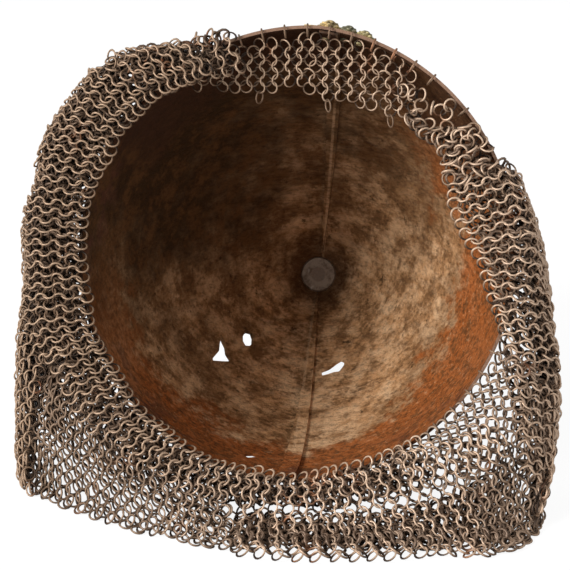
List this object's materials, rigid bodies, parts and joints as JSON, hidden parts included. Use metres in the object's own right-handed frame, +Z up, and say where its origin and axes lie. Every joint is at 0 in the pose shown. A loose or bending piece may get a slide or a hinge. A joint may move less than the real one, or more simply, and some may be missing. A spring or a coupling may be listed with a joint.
{
  "type": "conical helmet with mail aventail",
  "caption": "Conical helmet of two lapped iron plates with a turned finial, brass brow ornament, and a mail skirt and swinging front fringe linked to its rim.",
  "frame": {"origin": "on the floor, below the middle of the whole as it lies", "axes": "+Z up, the mouth looks along -Y and is tipped up 24 degrees, +X to the right seen from the front; +Y runs back towards the finial"},
  "size_m": [0.2784, 0.3132, 0.2265],
  "materials": {
    "skull_iron": "pitted, rusted wrought iron",
    "finial_iron": "turned iron, rusted",
    "washer_iron": "worn grey iron",
    "gilt_brass": "worn gilding on brass",
    "green_brass": "grey-green patina",
    "pale_brass": "worn yellow brass",
    "mail_steel": "dull steel wire with rust"
  },
  "bodies": {
    "helmet": {"skull_left": "skull_iron", "skull_right": "skull_iron", "finial": "finial_iron", "apex_washer": "washer_iron", "brow_plate": "gilt_brass", "rosette_left": "gilt_brass", "rosette_centre": "green_brass", "rosette_right": "pale_brass", "rim_rings_front": "mail_steel", "rim_rings_left": "mail_steel", "rim_rings_right": "mail_steel", "rim_rings_nape": "mail_steel", "mail_left_temple": "mail_steel", "mail_left_cheek": "mail_steel", "mail_nape": "mail_steel", "mail_right_cheek": "mail_steel", "mail_right_temple": "mail_steel"},
    "front_fringe": {"front_mail": "mail_steel"},
    "ring_left": {"dangling_ring_left": "mail_steel"},
    "ring_centre": {"dangling_ring_centre": "mail_steel"},
    "ring_right": {"dangling_ring_right": "mail_steel"}
  },
  "joints": [
    {"name": "front_fringe_swing", "type": "hinge", "parent": "helmet", "child": "front_fringe", "pos_m": [0.002, -0.01216, 0.22263], "axis": [1, 0, 0], "range_deg": [-235, 20]},
    {"name": "ring_left_swing", "type": "hinge", "parent": "front_fringe", "child": "ring_left", "pos_m": [-0.0204, -0.01216, 0.18959], "axis": [0.891, -0.454, 0], "range_deg": [-90, 90]},
    {"name": "ring_centre_swing", "type": "hinge", "parent": "front_fringe", "child": "ring_centre", "pos_m": [0.0148, -0.01216, 0.18589], "axis": [0.891, 0.454, 0], "range_deg": [-90, 90]},
    {"name": "ring_right_swing", "type": "hinge", "parent": "front_fringe", "child": "ring_right", "pos_m": [0.0468, -0.01216, 0.17849], "axis": [0.891, 0.454, 0], "range_deg": [-90, 90]}
  ]
}
